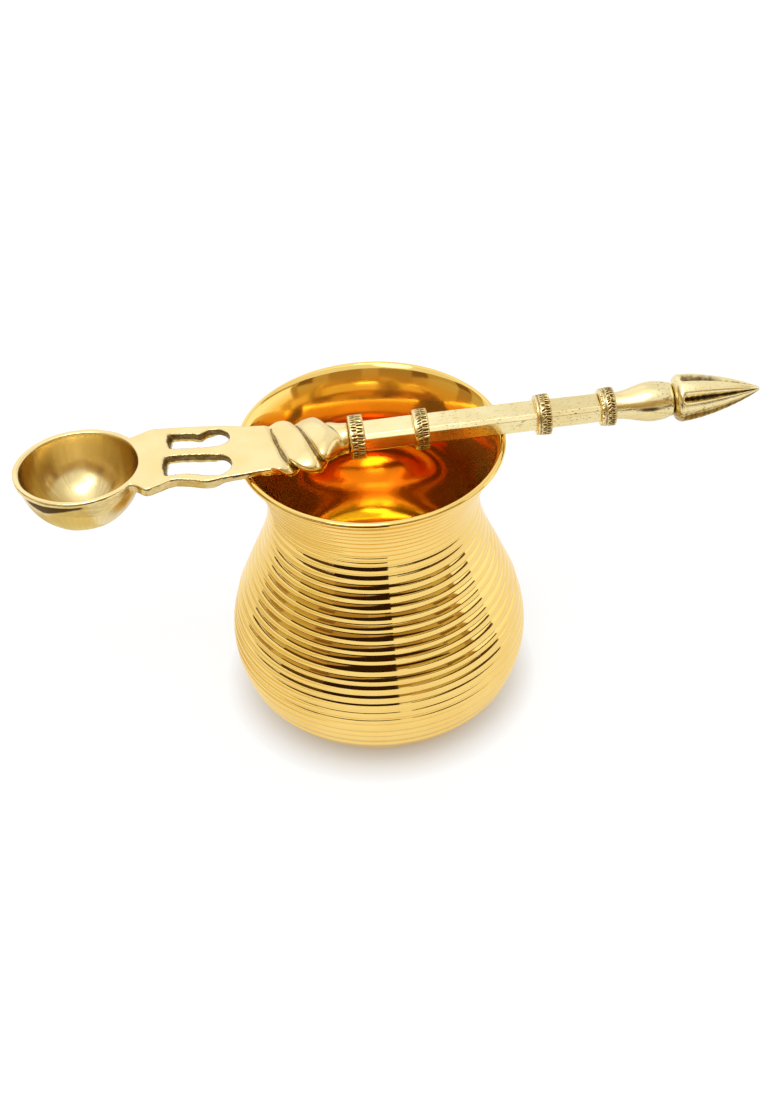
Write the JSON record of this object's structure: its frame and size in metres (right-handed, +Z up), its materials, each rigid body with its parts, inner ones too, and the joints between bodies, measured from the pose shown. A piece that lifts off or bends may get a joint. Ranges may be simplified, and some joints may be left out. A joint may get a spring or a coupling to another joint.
{
  "type": "panchpatra with spoon",
  "caption": "Brass panchpatra: a ribbed, waisted water cup with a flared lip, and a loose ritual spoon with a pierced, twisted neck and a bud finial lying across its mouth.",
  "frame": {"origin": "centre of the vessel's flat base, where it stands", "axes": "+Z up along the vessel's axis; +X along the spoon from the vessel's axis towards the bud finial; the bowl is on -X"},
  "size_m": [0.1784, 0.074, 0.0856],
  "materials": {
    "vessel_brass": "mirror-polished golden brass with turned ribs",
    "spoon_brass": "pale satin cast brass, hand-filed, with dark pits",
    "collar_brass": "hand-knurled brass with dark patina in the cuts"
  },
  "bodies": {
    "cup": {"vessel": "vessel_brass"},
    "spoon": {"ladle": "spoon_brass", "handle_rod": "spoon_brass", "root_collar": "collar_brass", "inner_collar": "collar_brass", "outer_collar": "collar_brass", "end_collar": "collar_brass", "baluster": "spoon_brass", "bud_finial": "spoon_brass"}
  },
  "joints": [
    {"name": "spoon_lift", "type": "slide", "parent": "cup", "child": "spoon", "axis": [0, 0, 1], "range_m": [0, 0.1]}
  ]
}
